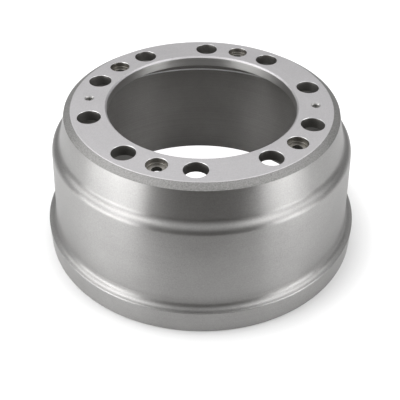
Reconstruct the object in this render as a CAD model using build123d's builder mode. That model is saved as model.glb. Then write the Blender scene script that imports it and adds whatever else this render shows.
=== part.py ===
from build123d import *
import os

os.makedirs("parts", exist_ok=True)

# Brake drum of a heavy vehicle, one iron casting turned all over.
# Millimetres. The axis is Z, the open mouth stands on z = 0 and the mounting face looks up.

# Hub side, from the bore outwards. Widths are radial.
bore_diameter = 281.0
bore_to_studs = 27.0
studs_to_face_edge = 25.5
bevel_width = 10.5
neck_flare = 10.5
shoulder_width = 12.0
web_thickness = 16.0
bore_chamfer = 2.3

# Wall thicknesses, measured across the axis.
neck_wall = 14.0
barrel_wall = 16.0

# Heights, from the mouth up to the mounting face.
friction_height = 166.5
shoulder_rise_height = 3.5
shoulder_drop = 6.0
neck_height = 50.0
bevel_drop = 6.5
throat_height = 12.5

# Stiffening flange round the mouth, with a low turned collar above it that flares into it.
flange_height = 37.8
flange_width = 10.7
collar_flare = 1.8
collar_height = 9.7
collar_proud = 0.2
collar_lead = 1.0
barrel_taper = 0.062

# Rounded and broken corners of the turned section.
neck_foot_radius = 12.0
shoulder_radius = 12.5
flange_root_radius = 10.0
flange_edge_chamfer = 1.5
mouth_chamfer = 1.0
web_root_chamfer = 3.5

# Holes through the web.
stud_count = 10
stud_hole_diameter = 34.0
hole_chamfer = 0.6
hole_chamfer_angle = 90.0
recess_diameter = 30.0
recess_depth = 6.5
seat_diameter = 25.0
seat_depth = 8.5
screw_hole_diameter = 14.4
jack_hole_diameter = 10.2
jack_sink_diameter = 14.2
jack_sink_angle = 90.0

# Radii that follow from those sizes.
bore_radius = bore_diameter / 2
stud_circle_radius = bore_radius + bore_to_studs
face_radius = stud_circle_radius + studs_to_face_edge
neck_top_radius = face_radius + bevel_width
neck_bottom_radius = neck_top_radius + neck_flare
barrel_top_radius = neck_bottom_radius + shoulder_width
friction_radius = barrel_top_radius - barrel_wall

# Levels that follow from those sizes.
shoulder_z = friction_height + shoulder_rise_height
neck_bottom_z = shoulder_z + shoulder_drop
face_z = neck_bottom_z + neck_height
neck_top_z = face_z - bevel_drop
web_bottom_z = face_z - web_thickness
collar_z = flange_height + collar_height
lead_z = collar_z + collar_lead

# The barrel widens evenly on its way down, the collar stands proud of that cone and flares
# out into the top of the flange.
lead_radius = barrel_top_radius + barrel_taper * (shoulder_z - lead_z)
collar_outer_radius = barrel_top_radius + barrel_taper * (shoulder_z - collar_z) + collar_proud
flare_bottom_radius = collar_outer_radius + collar_flare
flange_radius = flare_bottom_radius + flange_width

# Corners of half the section, as (radius, height).
bore_top = (bore_radius, face_z)
face_edge = (face_radius, face_z)
neck_top = (neck_top_radius, neck_top_z)
neck_bottom = (neck_bottom_radius, neck_bottom_z)
shoulder = (barrel_top_radius, shoulder_z)
collar_start = (lead_radius, lead_z)
collar_edge = (collar_outer_radius, collar_z)
flange_root = (flare_bottom_radius, flange_height)
flange_top = (flange_radius, flange_height)
flange_bottom = (flange_radius, 0)
mouth = (friction_radius, 0)
friction_top = (friction_radius, friction_height)
throat = (neck_bottom_radius - neck_wall, friction_height + throat_height)
web_root = (neck_top_radius - neck_wall, web_bottom_z)
bore_bottom = (bore_radius, web_bottom_z)

# Which corner is rounded, and by how much.
rounded_corners = {
    neck_bottom: neck_foot_radius,
    shoulder: shoulder_radius,
    flange_root: flange_root_radius,
}

# Which corner is cut off at 45 degrees, and by how much.
chamfered_corners = {
    bore_top: bore_chamfer,
    flange_top: flange_edge_chamfer,
    flange_bottom: flange_edge_chamfer,
    mouth: mouth_chamfer,
    web_root: web_root_chamfer,
    bore_bottom: hole_chamfer,
}

# Holes between two studs are counted in stud spacings from the first stud.
stud_spacing = 360 / stud_count
half_turn = stud_count // 2
recess_gaps = [1.5, 3.5, 1.5 + half_turn, 3.5 + half_turn]
jack_gaps = [half_turn - 0.5, 2 * half_turn - 0.5]
drill_depth = web_thickness + web_root_chamfer


def on_stud_circle(gap):
    """Place on the mounting face, at this many stud spacings round from the first stud."""
    spot = Vector(stud_circle_radius, 0).rotate(Axis.Z, gap * stud_spacing)
    return (spot.X, spot.Y, face_z)


with BuildPart() as brake_drum:
    # The whole section is turned at once.
    with BuildSketch(Plane.XZ) as section:
        with BuildLine():
            Polyline(
                bore_top,
                face_edge,
                neck_top,
                neck_bottom,
                shoulder,
                collar_start,
                collar_edge,
                flange_root,
                flange_top,
                flange_bottom,
                mouth,
                friction_top,
                throat,
                web_root,
                bore_bottom,
                close=True,
            )
        make_face()
        for corner, radius in rounded_corners.items():
            fillet(section.vertices().sort_by_distance(corner)[0], radius=radius)
        for corner, length in chamfered_corners.items():
            chamfer(section.vertices().sort_by_distance(corner)[0], length=length)
    revolve(axis=Axis.Z)

    # Plain holes for the wheel studs.
    with Locations((0, 0, face_z)):
        with PolarLocations(stud_circle_radius, stud_count):
            CounterSinkHole(
                radius=stud_hole_diameter / 2,
                counter_sink_radius=stud_hole_diameter / 2 + hole_chamfer,
                counter_sink_angle=hole_chamfer_angle,
                depth=drill_depth,
            )

    # Stepped recesses for the screws that hold the drum on its hub.
    with Locations(*[on_stud_circle(gap) for gap in recess_gaps]):
        CounterSinkHole(
            radius=recess_diameter / 2,
            counter_sink_radius=recess_diameter / 2 + hole_chamfer,
            counter_sink_angle=hole_chamfer_angle,
            depth=recess_depth,
        )
        CounterBoreHole(
            radius=screw_hole_diameter / 2,
            counter_bore_radius=seat_diameter / 2,
            counter_bore_depth=seat_depth,
            depth=drill_depth,
        )

    # Small countersunk holes that take the screws for pushing the drum off.
    with Locations(*[on_stud_circle(gap) for gap in jack_gaps]):
        CounterSinkHole(
            radius=jack_hole_diameter / 2,
            counter_sink_radius=jack_sink_diameter / 2,
            counter_sink_angle=jack_sink_angle,
            depth=drill_depth,
        )

brake_drum.part.label = "brake_drum"
export_step(brake_drum.part, "parts/brake_drum.step")
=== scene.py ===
from math import cos, pi, radians, sin, tan

import bmesh
import bpy
from mathutils import Matrix, Vector


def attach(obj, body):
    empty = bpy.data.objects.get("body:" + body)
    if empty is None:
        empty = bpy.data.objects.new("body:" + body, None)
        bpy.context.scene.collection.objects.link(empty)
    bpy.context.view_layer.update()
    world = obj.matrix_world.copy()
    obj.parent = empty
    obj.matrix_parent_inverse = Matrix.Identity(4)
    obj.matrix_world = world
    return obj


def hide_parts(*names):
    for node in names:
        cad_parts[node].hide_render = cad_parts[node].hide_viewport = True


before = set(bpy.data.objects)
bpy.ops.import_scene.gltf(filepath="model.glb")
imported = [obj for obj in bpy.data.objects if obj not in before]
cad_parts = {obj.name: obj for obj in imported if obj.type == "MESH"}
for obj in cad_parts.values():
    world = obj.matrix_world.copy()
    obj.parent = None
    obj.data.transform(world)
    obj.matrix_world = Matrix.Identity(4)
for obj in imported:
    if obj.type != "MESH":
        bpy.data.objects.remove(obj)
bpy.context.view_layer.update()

MM = 0.001

# The drum's section, in millimetres, as in the part's source. Heights start at the mouth.
BORE_R = 140.5
STUD_R = 167.5
FACE_R = 193.0
NECK_TOP_R = 203.5
NECK_FOOT_R = 214.0
BARREL_R = 226.0
FRICTION_R = 210.0
FACE_Z = 226.0
NECK_TOP_Z = 219.5
NECK_FOOT_Z = 176.0
SHOULDER_Z = 170.0
FRICTION_Z = 166.5
THROAT_Z = 179.0
WEB_Z = 210.0
FLANGE_Z = 37.8
COLLAR_Z = 47.5
LEAD_Z = 48.5
TAPER = 0.062
NECK_WALL = 14.0
COLLAR_PROUD = 0.2
COLLAR_FLARE = 1.8
FLANGE_WIDTH = 10.7
LEAD_R = BARREL_R + TAPER * (SHOULDER_Z - LEAD_Z)
COLLAR_R = BARREL_R + TAPER * (SHOULDER_Z - COLLAR_Z) + COLLAR_PROUD
FLARE_R = COLLAR_R + COLLAR_FLARE
FLANGE_R = FLARE_R + FLANGE_WIDTH
THROAT_R = NECK_FOOT_R - NECK_WALL
WEB_ROOT_R = NECK_TOP_R - NECK_WALL

# Corners that are cut off, by their length along the faces beside them.
BORE_CHAMFER = 2.3
FLANGE_CHAMFER = 1.5
MOUTH_CHAMFER = 1.0
HOLE_CHAMFER = 0.6
WEB_ROOT_CHAMFER = 3.5
WEB_ROOT_OUT = 1.12
WEB_ROOT_DOWN = 3.31
FACE_EDGE_IN = 0.6
FACE_EDGE_OUT = 0.3

# Radii of the rounded corners.
NECK_TOP_ROUND = 0.9
NECK_FOOT_ROUND = 12.0
SHOULDER_ROUND = 12.5
LEAD_ROUND = 1.0
COLLAR_ROUND = 0.6
FLANGE_ROOT_ROUND = 10.0
FLANGE_TOP_ROUND = 1.8
STEP_ROUND = 0.5
THROAT_ROUND = 1.0
WEB_ROOT_ROUND = 0.8
CHAMFER_ROUND = 0.3
BORE_FOOT_ROUND = 0.1
SHARP = 0.0

# Height of the band at the end of the shoe surface that takes the bright rim colour, a painted highlight where
# the edge of the step catches light.
HIGHLIGHT_BAND = 2.4

# Holes. Their places are counted in stud spacings from the first stud.
STUD_COUNT = 10
STUD_SPACING = 360 / STUD_COUNT
SCREW_PLACES = (1.5, 3.5, 6.5, 8.5)
JACK_PLACES = (4.5, 9.5)
STUD_HOLE_R = 17.0
RECESS_R = 15.0
RECESS_DEPTH = 6.5
SEAT_R = 12.5
SEAT_DEPTH = 8.5
SCREW_HOLE_R = 7.2
BROKEN_EDGE = 0.2

# M12 thread of the two small holes.
SINK_R = 7.1
SINK_DEPTH = 1.85
SINK_FOOT = 0.15
CORE_R = 5.1
CORE_LEAD = 0.3
THREAD_DEPTH = 0.9
THREAD_PITCH = 1.75
THREAD_FLANK = 2.6
THREAD_FADE = 1.0
THREAD_TOP_Z = FACE_Z - 2.1
THREAD_LOW_Z = WEB_Z + 0.4
THREAD_ROWS = 72

# How fine the mesh is.
TURNS = 360
HOLE_TURNS = 72
ARC_STEP = radians(7.5)
SHARP_ANGLE = radians(28)
LEVEL_NORMAL = 0.9999

# A level stretch of the section this wide and this high is a plate with holes in it.
PLATE_WIDTH = 20
PLATE_HEIGHT = 100

# Material slots of the drum, by index.
FACE, BEVEL, NECK, BARREL, FLANGE, BORE, SHOES, INSIDE, HOLE, RECESS, THREAD, RIM_HIGHLIGHT, STEP = range(13)


# Section
def rounded(corners):
    """Points of a closed section with its corners rounded, each with the slot of the stretch after it."""
    points = []
    count = len(corners)
    for i, (r, z, radius, slot) in enumerate(corners):
        if radius == SHARP:
            points.append((r, z, slot))
            continue
        here = Vector((r, z))
        before = (Vector(corners[i - 1][:2]) - here).normalized()
        after = (Vector(corners[(i + 1) % count][:2]) - here).normalized()
        slot_before = corners[i - 1][3]
        half = before.angle(after) / 2
        reach = radius / tan(half)
        centre = here + (before + after).normalized() * radius / sin(half)
        start = here + before * reach - centre
        end = here + after * reach - centre
        sweep = start.angle_signed(end)
        steps = max(2, round(abs(sweep) / ARC_STEP))
        for k in range(steps + 1):
            turned = start.copy()
            turned.rotate(Matrix.Rotation(-sweep * k / steps, 2))
            spot = centre + turned
            points.append((spot.x, spot.y, slot_before if k < steps / 2 else slot))
    return points


section = rounded([
    (BORE_R + BORE_CHAMFER, FACE_Z, CHAMFER_ROUND, FACE),
    (FACE_R - FACE_EDGE_IN, FACE_Z, SHARP, FACE),
    (FACE_R + FACE_EDGE_OUT, FACE_Z - FACE_EDGE_OUT, SHARP, BEVEL),
    (NECK_TOP_R, NECK_TOP_Z, NECK_TOP_ROUND, NECK),
    (NECK_FOOT_R, NECK_FOOT_Z, NECK_FOOT_ROUND, BARREL),
    (BARREL_R, SHOULDER_Z, SHOULDER_ROUND, BARREL),
    (LEAD_R, LEAD_Z, LEAD_ROUND, BARREL),
    (COLLAR_R, COLLAR_Z, COLLAR_ROUND, FLANGE),
    (FLARE_R, FLANGE_Z, FLANGE_ROOT_ROUND, FLANGE),
    (FLANGE_R, FLANGE_Z, FLANGE_TOP_ROUND, FLANGE),
    (FLANGE_R, FLANGE_CHAMFER, CHAMFER_ROUND, FLANGE),
    (FLANGE_R - FLANGE_CHAMFER, 0.0, CHAMFER_ROUND, SHOES),
    (FRICTION_R + MOUTH_CHAMFER, 0.0, CHAMFER_ROUND, SHOES),
    (FRICTION_R, MOUTH_CHAMFER, CHAMFER_ROUND, SHOES),
    # The band below the step takes the bright rim colour, a painted highlight.
    (FRICTION_R, FRICTION_Z - HIGHLIGHT_BAND, SHARP, RIM_HIGHLIGHT),
    # The step from the shoe surface to the throat takes a darker colour, a painted shade.
    (FRICTION_R, FRICTION_Z, STEP_ROUND, STEP),
    (THROAT_R, THROAT_Z, THROAT_ROUND, INSIDE),
    (WEB_ROOT_R + WEB_ROOT_OUT, WEB_Z - WEB_ROOT_DOWN, WEB_ROOT_ROUND, INSIDE),
    (WEB_ROOT_R - WEB_ROOT_CHAMFER, WEB_Z, WEB_ROOT_ROUND, INSIDE),
    (BORE_R + HOLE_CHAMFER, WEB_Z, BORE_FOOT_ROUND, BORE),
    (BORE_R, WEB_Z + HOLE_CHAMFER, BORE_FOOT_ROUND, BORE),
    (BORE_R, FACE_Z - BORE_CHAMFER, CHAMFER_ROUND, FACE),
])


def broken_rim(radius, slot):
    """Rim of a hole at the mounting face, and the slot of the wall below it. The rim's chamfer takes the bright
    rim colour, a painted highlight.
    """
    return [
        (radius + HOLE_CHAMFER, FACE_Z, RIM_HIGHLIGHT),
        (radius + BROKEN_EDGE, FACE_Z - BROKEN_EDGE, RIM_HIGHLIGHT),
        (radius, FACE_Z - HOLE_CHAMFER, slot),
    ]


stud_hole = broken_rim(STUD_HOLE_R, HOLE) + [(STUD_HOLE_R, WEB_Z, HOLE)]
screw_hole = broken_rim(RECESS_R, RECESS) + [
    (RECESS_R, FACE_Z - RECESS_DEPTH, RECESS),
    (SEAT_R + BROKEN_EDGE, FACE_Z - RECESS_DEPTH, RECESS),
    (SEAT_R, FACE_Z - RECESS_DEPTH - BROKEN_EDGE, RECESS),
    (SEAT_R, FACE_Z - SEAT_DEPTH, RECESS),
    (SCREW_HOLE_R + BROKEN_EDGE, FACE_Z - SEAT_DEPTH, RECESS),
    (SCREW_HOLE_R, FACE_Z - SEAT_DEPTH - BROKEN_EDGE, HOLE),
    (SCREW_HOLE_R, WEB_Z, HOLE),
]


# Drum
def add_object(name, data):
    made = bpy.data.objects.new(name, data)
    bpy.context.scene.collection.objects.link(made)
    return made


def ring(mesh, radius, z, turns, centre=(0.0, 0.0), ridge=None):
    """A ring of vertices, in millimetres. A ridge adds to the radius by its angle."""
    spots = []
    for k in range(turns):
        angle = 2 * pi * k / turns
        reach = radius + ridge(angle) if ridge else radius
        x = centre[0] + reach * cos(angle)
        y = centre[1] + reach * sin(angle)
        spots.append(mesh.verts.new((x * MM, y * MM, z * MM)))
    return spots


def band(mesh, one, two, slot):
    """Quads between two rings."""
    count = len(one)
    for k in range(count):
        face = mesh.faces.new((one[k], one[(k + 1) % count], two[(k + 1) % count], two[k]))
        face.material_index = slot
        face.smooth = True


def plate(mesh, loops, slot):
    """One flat face with holes, filled between its loops."""
    edges = []
    for loop in loops:
        for k in range(len(loop)):
            pair = (loop[k - 1], loop[k])
            edges.append(mesh.edges.get(pair) or mesh.edges.new(pair))
    filled = bmesh.ops.triangle_fill(mesh, use_beauty=True, use_dissolve=False, edges=edges)
    for item in filled["geom"]:
        if isinstance(item, bmesh.types.BMFace):
            item.material_index = slot


def on_circle(place):
    angle = radians(STUD_SPACING * place)
    return (STUD_R * cos(angle), STUD_R * sin(angle))


def plain_hole(mesh, profile, centre):
    """Walls of a hole. Returns the rims at the top and the bottom."""
    steps = [ring(mesh, r, z, HOLE_TURNS, centre) for r, z, _ in profile]
    for one, two, (_, _, slot) in zip(steps, steps[1:], profile):
        band(mesh, one, two, slot)
    return steps[0], steps[-1]


def threaded_hole(mesh, centre):
    """Countersink and M12 thread. Returns the rims at the top and the bottom."""
    top = ring(mesh, SINK_R, FACE_Z, HOLE_TURNS, centre)
    last = ring(mesh, CORE_R + SINK_FOOT, FACE_Z - SINK_DEPTH, HOLE_TURNS, centre)
    band(mesh, top, last, BORE)
    for row in range(THREAD_ROWS + 1):
        z = THREAD_TOP_Z + (THREAD_LOW_Z - THREAD_TOP_Z) * row / THREAD_ROWS
        fade = min(1.0, (THREAD_TOP_Z - z) / THREAD_FADE, (z - THREAD_LOW_Z) / THREAD_FADE)

        def ridge(angle):
            """Depth of the thread, which climbs by one pitch in a turn."""
            phase = (z / THREAD_PITCH - angle / (2 * pi)) % 1.0
            return THREAD_DEPTH * fade * min(1.0, max(0.0, THREAD_FLANK * (0.5 - abs(phase - 0.5))))

        spots = ring(mesh, CORE_R, z, HOLE_TURNS, centre, ridge)
        band(mesh, last, spots, THREAD)
        last = spots
    bottom = ring(mesh, CORE_R + CORE_LEAD, WEB_Z, HOLE_TURNS, centre)
    band(mesh, last, bottom, HOLE)
    return top, bottom


def build_drum():
    mesh = bmesh.new()
    rings = [ring(mesh, r, z, TURNS) for r, z, _ in section]
    flats = {}
    for i, (r, z, slot) in enumerate(section):
        j = (i + 1) % len(section)
        r_next, z_next, _ = section[j]
        if abs(r - r_next) > PLATE_WIDTH and z == z_next and z > PLATE_HEIGHT:
            flats[round(z)] = (rings[i], rings[j])
        else:
            band(mesh, rings[i], rings[j], slot)
    rims = [plain_hole(mesh, stud_hole, on_circle(place)) for place in range(STUD_COUNT)]
    rims += [plain_hole(mesh, screw_hole, on_circle(place)) for place in SCREW_PLACES]
    rims += [threaded_hole(mesh, on_circle(place)) for place in JACK_PLACES]
    tops, bottoms = zip(*rims)
    plate(mesh, flats[round(FACE_Z)] + tops, FACE)
    plate(mesh, flats[round(WEB_Z)] + bottoms, INSIDE)
    bmesh.ops.recalc_face_normals(mesh, faces=mesh.faces)
    data = bpy.data.meshes.new("drum_casting")
    mesh.to_mesh(data)
    mesh.free()
    data.set_sharp_from_angle(angle=SHARP_ANGLE)
    # Level faces stay flat, so that they don't pick up the slope of the rims round them.
    for polygon in data.polygons:
        polygon.use_smooth = abs(polygon.normal.z) < LEVEL_NORMAL
    return add_object("drum_casting", data)


drum = build_drum()


# Materials
class Shader:
    """Short names for the nodes of one material."""

    def __init__(self, name):
        self.material = bpy.data.materials.new(name)
        self.material.use_nodes = True
        self.tree = self.material.node_tree
        self.bsdf = self.tree.nodes["Principled BSDF"]

    def node(self, kind, **values):
        made = self.tree.nodes.new(kind)
        for key, value in values.items():
            setattr(made, key, value)
        return made

    def link(self, source, target):
        self.tree.links.new(source, target)

    def math(self, operation, one, two):
        """One is a socket, two a socket or a number."""
        made = self.node("ShaderNodeMath", operation=operation)
        self.link(one, made.inputs[0])
        if isinstance(two, float):
            made.inputs[1].default_value = two
        else:
            self.link(two, made.inputs[1])
        return made.outputs[0]

    def blend(self, parts):
        """Sum of sockets, each with its weight."""
        weighted = [self.math("MULTIPLY", source, weight) for source, weight in parts]
        total = weighted[0]
        for part in weighted[1:]:
            total = self.math("ADD", total, part)
        return total

    def place(self):
        """Radius, height and position, all in metres."""
        spot = self.node("ShaderNodeTexCoord").outputs["Object"]
        parts = self.node("ShaderNodeSeparateXYZ")
        self.link(spot, parts.inputs[0])
        flat = self.node("ShaderNodeCombineXYZ")
        self.link(parts.outputs[0], flat.inputs[0])
        self.link(parts.outputs[1], flat.inputs[1])
        length = self.node("ShaderNodeVectorMath", operation="LENGTH")
        self.link(flat.outputs[0], length.inputs[0])
        return length.outputs["Value"], parts.outputs[2], spot

    def noise(self, vector, scale, detail, rough=0.5):
        made = self.node("ShaderNodeTexNoise")
        self.link(vector, made.inputs["Vector"])
        made.inputs["Scale"].default_value = scale
        made.inputs["Detail"].default_value = detail
        made.inputs["Roughness"].default_value = rough
        return made.outputs["Fac"]

    def rings(self, scale):
        """Turning marks: noise that changes only with radius and height, and wanders a little."""
        radius, height, spot = self.place()
        drift = self.noise(spot, DRIFT_SCALE, DRIFT_DETAIL)
        shift = self.math("MULTIPLY", drift, WANDER)
        both = self.node("ShaderNodeCombineXYZ")
        self.link(self.math("ADD", radius, shift), both.inputs[0])
        self.link(self.math("ADD", height, shift), both.inputs[1])
        return self.noise(both.outputs[0], scale, MARKS_DETAIL)

    def ramp(self, source, span, one, two):
        """Goes from one to two while the source crosses the span."""
        made = self.node("ShaderNodeMapRange")
        self.link(source, made.inputs["Value"])
        made.inputs["From Min"].default_value = span[0]
        made.inputs["From Max"].default_value = span[1]
        made.inputs["To Min"].default_value = one
        made.inputs["To Max"].default_value = two
        return made.outputs["Result"]

    def mix(self, factor, one, two):
        """Two colours, mixed."""
        made = self.node("ShaderNodeMix", data_type="RGBA")
        self.link(factor, made.inputs[0])
        made.inputs[6].default_value = (*one, 1.0)
        made.inputs[7].default_value = (*two, 1.0)
        return made.outputs[2]

    def bump(self, height, distance, normal=None):
        made = self.node("ShaderNodeBump")
        made.inputs["Distance"].default_value = distance
        self.link(height, made.inputs["Height"])
        if normal is not None:
            self.link(normal, made.inputs["Normal"])
        return made.outputs["Normal"]

    def around(self, amount):
        """Stretch the gloss across the turning marks, which run round the axis."""
        tangent = self.node("ShaderNodeTangent", direction_type="RADIAL", axis="Z")
        self.link(tangent.outputs[0], self.bsdf.inputs["Tangent"])
        self.bsdf.inputs["Anisotropic"].default_value = amount
        self.bsdf.inputs["Anisotropic Rotation"].default_value = QUARTER_TURN


# The turning marks wander by this many metres.
WANDER = 0.0006
DRIFT_SCALE = 14.0
DRIFT_DETAIL = 1.0
MARKS_DETAIL = 2.0
GRAIN_DETAIL = 3.0
GRAIN_ROUGH = 0.6
PATCH_SCALE = 16.0
PATCH_DETAIL = 3.0
PATCH_ROUGH = 0.55
TONE_SPAN = (0.35, 0.65)
GLOSS_SPAN = (0.3, 0.7)
GLOSS_WEIGHTS = (0.6, 0.4)
QUARTER_TURN = 0.25


def iron(name, light, dark, rough, marks, grain, weights, stretch):
    """Turned or cast iron. Marks and grain are (scale, depth), the weights are of marks, patches and grain."""
    look = Shader(name)
    _, _, spot = look.place()
    turned = look.rings(marks[0])
    cast = look.noise(spot, grain[0], GRAIN_DETAIL, GRAIN_ROUGH)
    patch = look.noise(spot, PATCH_SCALE, PATCH_DETAIL, PATCH_ROUGH)
    tone = look.blend(zip((turned, patch, cast), weights))
    shade = look.ramp(tone, TONE_SPAN, 0.0, 1.0)
    look.link(look.mix(shade, dark, light), look.bsdf.inputs["Base Color"])
    gloss = look.blend(zip((patch, cast), GLOSS_WEIGHTS))
    look.link(look.ramp(gloss, GLOSS_SPAN, *rough), look.bsdf.inputs["Roughness"])
    relief = look.bump(turned, marks[1])
    relief = look.bump(cast, grain[1], relief)
    look.link(relief, look.bsdf.inputs["Normal"])
    look.bsdf.inputs["Metallic"].default_value = 1.0
    look.around(stretch)
    return look.material


# Light and dark tones.
OUTSIDE = {"light": (0.39, 0.385, 0.38), "dark": (0.295, 0.291, 0.287)}
INNER = {"light": (0.44, 0.43, 0.42), "dark": (0.32, 0.31, 0.30)}
# Dark tones of the hole walls and threads: painted shade in the holes, which also dulls the lamps' gloss there.
SHADED_HOLE = {"light": (0.24, 0.235, 0.225), "dark": (0.18, 0.175, 0.165)}

# Marks and grain, as noise scale and depth in metres.
FINEST = (900, 0.00001)
FINE = (520, 0.00001)
COARSE_MARKS = (300, 0.00002)
COARSE_GRAIN = (700, 0.00006)

# Looks that several slots share.
WALL = {
    **OUTSIDE, "rough": (0.38, 0.44), "marks": (700, 0.00001), "grain": (520, 0.00002),
    "weights": (0.15, 0.3, 0.55), "stretch": 0.7,
}
ROUGH_TURNED = {
    "rough": (0.5, 0.6), "marks": COARSE_MARKS, "grain": COARSE_GRAIN, "weights": (0.2, 0.3, 0.5), "stretch": 0.7,
}
SMALL_FACE = {"marks": FINEST, "grain": FINEST, "weights": (0.4, 0.2, 0.4), "stretch": 0.0}

slots = {
    FACE: iron(
        "iron_face", light=(0.592, 0.58, 0.59), dark=(0.513, 0.503, 0.511), rough=(0.5, 0.58),
        marks=FINEST, grain=FINE, weights=(0.2, 0.2, 0.6), stretch=0.0,
    ),
    BEVEL: iron(
        "iron_bevel", light=(0.326, 0.322, 0.316), dark=(0.202, 0.2, 0.196), rough=(0.54, 0.62),
        marks=(60, 0.0), grain=(520, 0.0001), weights=(0.0, 0.2, 0.8), stretch=0.0,
    ),
    NECK: iron("iron_neck", **WALL),
    BARREL: iron("iron_barrel", **WALL),
    FLANGE: iron("iron_flange", **WALL),
    BORE: iron(
        "iron_bore", light=(0.52, 0.515, 0.505), dark=(0.46, 0.455, 0.445), rough=(0.42, 0.48),
        marks=FINEST, grain=FINEST, weights=(0.5, 0.2, 0.3), stretch=0.9,
    ),
    SHOES: iron(
        "iron_shoe_surface", **INNER, rough=(0.48, 0.54),
        marks=(600, 0.00002), grain=FINE, weights=(0.3, 0.35, 0.35), stretch=0.9,
    ),
    INSIDE: iron("iron_inside", **INNER, **ROUGH_TURNED),
    HOLE: iron("iron_hole", **SHADED_HOLE, rough=(0.5, 0.6), **SMALL_FACE),
    RECESS: iron(
        "iron_recess", light=(0.36, 0.348, 0.328), dark=(0.24, 0.228, 0.208), rough=(0.34, 0.44),
        marks=FINEST, grain=(500, 0.00002), weights=(0.2, 0.3, 0.5), stretch=0.0,
    ),
    THREAD: iron("iron_thread", **SHADED_HOLE, rough=(0.4, 0.5), **SMALL_FACE),
    # Darker than the other inside iron: painted shade along the step.
    STEP: iron("iron_step_shade", light=(0.34, 0.33, 0.32), dark=(0.28, 0.27, 0.26), **ROUGH_TURNED),
    # Bright rim colour: a painted highlight on the hole rims and on the band at the top of the shoe surface.
    RIM_HIGHLIGHT: iron("iron_rim_highlight", light=(0.78, 0.78, 0.78), dark=(0.68, 0.68, 0.68), rough=(0.38, 0.45), **SMALL_FACE),
}
for index in sorted(slots):
    drum.data.materials.append(slots[index])

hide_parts("brake_drum")
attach(drum, "root")

# Floor, in metres. Spans are distances from the drum's axis.
FLOOR_HALF = 6.0
FLOOR_GREY = (0.86, 0.86, 0.86, 1.0)
WHITE = (1.0, 1.0, 1.0, 1.0)
DULL = 0.9
PAINTED_SHADE_SPAN = (0.25, 0.295)
PAINTED_BORE_LIGHT_SPAN = (0.211, 0.225)
REFLECTED_SHADE_SPAN = (0.32, 0.5)
FLOOR_GLOW = 0.3
PAINTED_BORE_LIGHT = 1.0


def build_floor():
    """Plain white again a hand's width from the drum, where its painted glow has come in; nearer the drum the
    glow fades out, a painted shade added to the real shadow. Where the floor shows through the bore and the holes
    it is painted white for the camera, painted light in the drum's shadow.
    """
    data = bpy.data.meshes.new("floor")
    corners = [(x * FLOOR_HALF, y * FLOOR_HALF, 0) for x, y in ((-1, -1), (1, -1), (1, 1), (-1, 1))]
    data.from_pydata(corners, [], [(0, 1, 2, 3)])
    floor = add_object("floor", data)
    look = Shader("floor_white")
    look.bsdf.inputs["Base Color"].default_value = FLOOR_GREY
    look.bsdf.inputs["Roughness"].default_value = DULL
    look.bsdf.inputs["Specular IOR Level"].default_value = 0.0
    look.bsdf.inputs["Emission Color"].default_value = WHITE
    path = look.node("ShaderNodeLightPath")
    radius, _, _ = look.place()
    # Painted shade: the floor's glow fades out towards the drum. Painted light: under the bore the floor glows
    # white for the camera.
    outside = look.ramp(radius, PAINTED_SHADE_SPAN, 0.0, FLOOR_GLOW)
    inside = look.ramp(radius, PAINTED_BORE_LIGHT_SPAN, PAINTED_BORE_LIGHT, 0.0)
    seen = look.math("MULTIPLY", path.outputs["Is Camera Ray"], look.math("ADD", outside, inside))
    # Painted shade in reflections: the iron's gloss sees the floor glow only further from the drum.
    far = look.ramp(radius, REFLECTED_SHADE_SPAN, 0.0, FLOOR_GLOW)
    shown = look.math("MULTIPLY", path.outputs["Is Glossy Ray"], far)
    look.link(look.math("ADD", seen, shown), look.bsdf.inputs["Emission Strength"])
    data.materials.append(look.material)


build_floor()

# Camera. The view was fitted to the photograph's ellipses and hole centres.
VIEW_AZIMUTH = radians(-15.6465)
CAMERA_REACH = 0.873814
CAMERA_RISE = 0.530791
PITCH = 0.6884573
YAW = -0.0018361
ROLL = 0.0088956
FOCAL_PX = 685.04
FRAME_PX = 400
SENSOR = 36.0

# Turns the camera's side of the stage to where the view comes from.
VIEW_TURN = Matrix.Rotation(VIEW_AZIMUTH, 3, "Z")


def build_camera():
    data = bpy.data.cameras.new("camera")
    data.sensor_width = SENSOR
    data.lens = FOCAL_PX * SENSOR / FRAME_PX
    camera = add_object("camera", data)
    ahead = VIEW_TURN @ Vector((sin(YAW) * cos(PITCH), cos(YAW) * cos(PITCH), -sin(PITCH)))
    right = VIEW_TURN @ Vector((cos(YAW), -sin(YAW), 0))
    up = right.cross(ahead)
    right_rolled = cos(ROLL) * right + sin(ROLL) * up
    up_rolled = cos(ROLL) * up - sin(ROLL) * right
    pose = Matrix((right_rolled, up_rolled, -ahead)).transposed().to_4x4()
    pose.translation = VIEW_TURN @ Vector((0, -CAMERA_REACH, FACE_Z * MM + CAMERA_RISE))
    camera.matrix_world = pose
    bpy.context.scene.camera = camera


build_camera()

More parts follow.
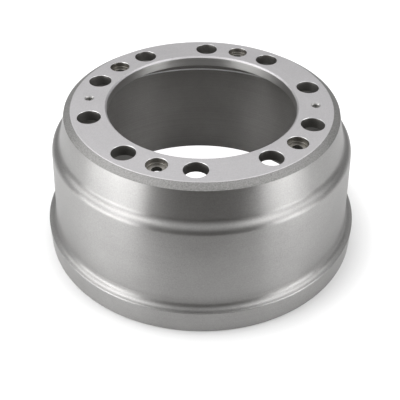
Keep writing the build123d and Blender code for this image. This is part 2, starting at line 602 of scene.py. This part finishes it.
# Lamps aim at the middle of the drum. Low strips on either side make the bright bands of the turned
# walls, the boxes above them fill the shelf, the bevel and the face. Each has its name, azimuth and
# elevation in degrees, distance, width and height in metres, and power in watts.
LAMP_TARGET = Vector((0, 0, 0.12))
LAMPS = (
    ("strip_left_front", -47, 8, 1.5, 0.7, 0.35, 5.3),
    ("strip_left", -71, 8, 1.5, 0.7, 0.35, 4.7),
    ("strip_right_front", 53, 8, 1.5, 0.45, 0.35, 2.7),
    ("strip_right", 67, 8, 1.5, 0.45, 0.35, 2.6),
    ("box_left_front", -57, 33, 1.5, 0.5, 0.75, 1.8),
    ("box_right_front", 55, 33, 1.5, 0.45, 0.75, 1.4),
    ("box_left_low", -95, 35, 1.5, 0.7, 0.45, 1.9),
    ("box_right_low", 83, 32, 1.5, 0.4, 0.4, 0.8),
    ("box_left", -91, 58, 1.5, 1.1, 0.6, 8.0),
    ("box_right", 88, 58, 1.5, 1.0, 0.6, 5.3),
    ("box_back", 180, 50, 1.8, 1.4, 1.0, 1.7),
)


def build_lamp(name, azimuth, elevation, distance, width, height, power):
    """A soft box. Azimuth 0 is the camera's side, and grows to the camera's right."""
    data = bpy.data.lights.new(name, "AREA")
    data.shape = "RECTANGLE"
    data.size = width
    data.size_y = height
    data.energy = power
    box = add_object(name, data)
    angle = VIEW_AZIMUTH + radians(azimuth)
    rise = radians(elevation)
    away = Vector((sin(angle) * cos(rise), -cos(angle) * cos(rise), sin(rise)))
    box.location = LAMP_TARGET + away * distance
    box.rotation_euler = away.to_track_quat("Z", "Y").to_euler()


for lamp in LAMPS:
    build_lamp(*lamp)

# Dark card, as half width, reach towards the camera and height of its foot and its top.
CARD_FOOT = (0.36, 0.50, 0.0)
CARD_TOP = (0.85, 1.2, 1.0)
REFLECTION_CARD_COLOUR = (0.041, 0.035, 0.029, 1.0)


def build_card():
    """A dark card on the camera's side. Only the gloss of the iron sees it: it casts no shadow and the camera
    doesn't see it, so it is a painted dark reflection on the iron's front.
    """
    data = bpy.data.meshes.new("dark_card")
    corners = []
    for side, (half, reach, rise) in ((-1, CARD_FOOT), (1, CARD_FOOT), (1, CARD_TOP), (-1, CARD_TOP)):
        corners.append(VIEW_TURN @ Vector((side * half, -reach, rise)))
    data.from_pydata(corners, [], [(0, 1, 2, 3)])
    card = add_object("dark_card", data)
    look = Shader("card_dark_reflection")
    look.bsdf.inputs["Base Color"].default_value = REFLECTION_CARD_COLOUR
    look.bsdf.inputs["Roughness"].default_value = DULL
    data.materials.append(look.material)
    card.visible_camera = False
    card.visible_diffuse = False
    card.visible_shadow = False
    card.visible_transmission = False


build_card()

# World: the strength of each part of its light, and the span in which that part grows.
ROOM = 0.085
BEHIND_SPAN = (-0.2, 0.8)
BEHIND_GLOW = 0.32
OVERHEAD_SPAN = (0.5, 0.9)
OVERHEAD_GLOW = 0.72


def build_world():
    """A studio that is pale overhead and behind the drum, and dim elsewhere."""
    world = bpy.data.worlds.new("studio")
    bpy.context.scene.world = world
    world.use_nodes = True
    tree = world.node_tree
    back = tree.nodes["Background"]
    spot = tree.nodes.new("ShaderNodeTexCoord").outputs["Generated"]

    def glow(toward, span, strength):
        """Light that grows as the view turns toward a direction."""
        along = tree.nodes.new("ShaderNodeVectorMath")
        along.operation = "DOT_PRODUCT"
        tree.links.new(spot, along.inputs[0])
        along.inputs[1].default_value = toward
        ramp = tree.nodes.new("ShaderNodeMapRange")
        tree.links.new(along.outputs["Value"], ramp.inputs["Value"])
        ramp.inputs["From Min"].default_value = span[0]
        ramp.inputs["From Max"].default_value = span[1]
        ramp.inputs["To Max"].default_value = strength
        return ramp.outputs["Result"]

    behind = VIEW_TURN @ Vector((0, 1, 0))
    total = tree.nodes.new("ShaderNodeMath")
    tree.links.new(glow(behind, BEHIND_SPAN, BEHIND_GLOW), total.inputs[0])
    tree.links.new(glow((0, 0, 1), OVERHEAD_SPAN, OVERHEAD_GLOW), total.inputs[1])
    room = tree.nodes.new("ShaderNodeMath")
    tree.links.new(total.outputs[0], room.inputs[0])
    room.inputs[1].default_value = ROOM
    tree.links.new(room.outputs[0], back.inputs["Strength"])
    back.inputs["Color"].default_value = WHITE


build_world()

bpy.context.scene.view_settings.view_transform = "Standard"
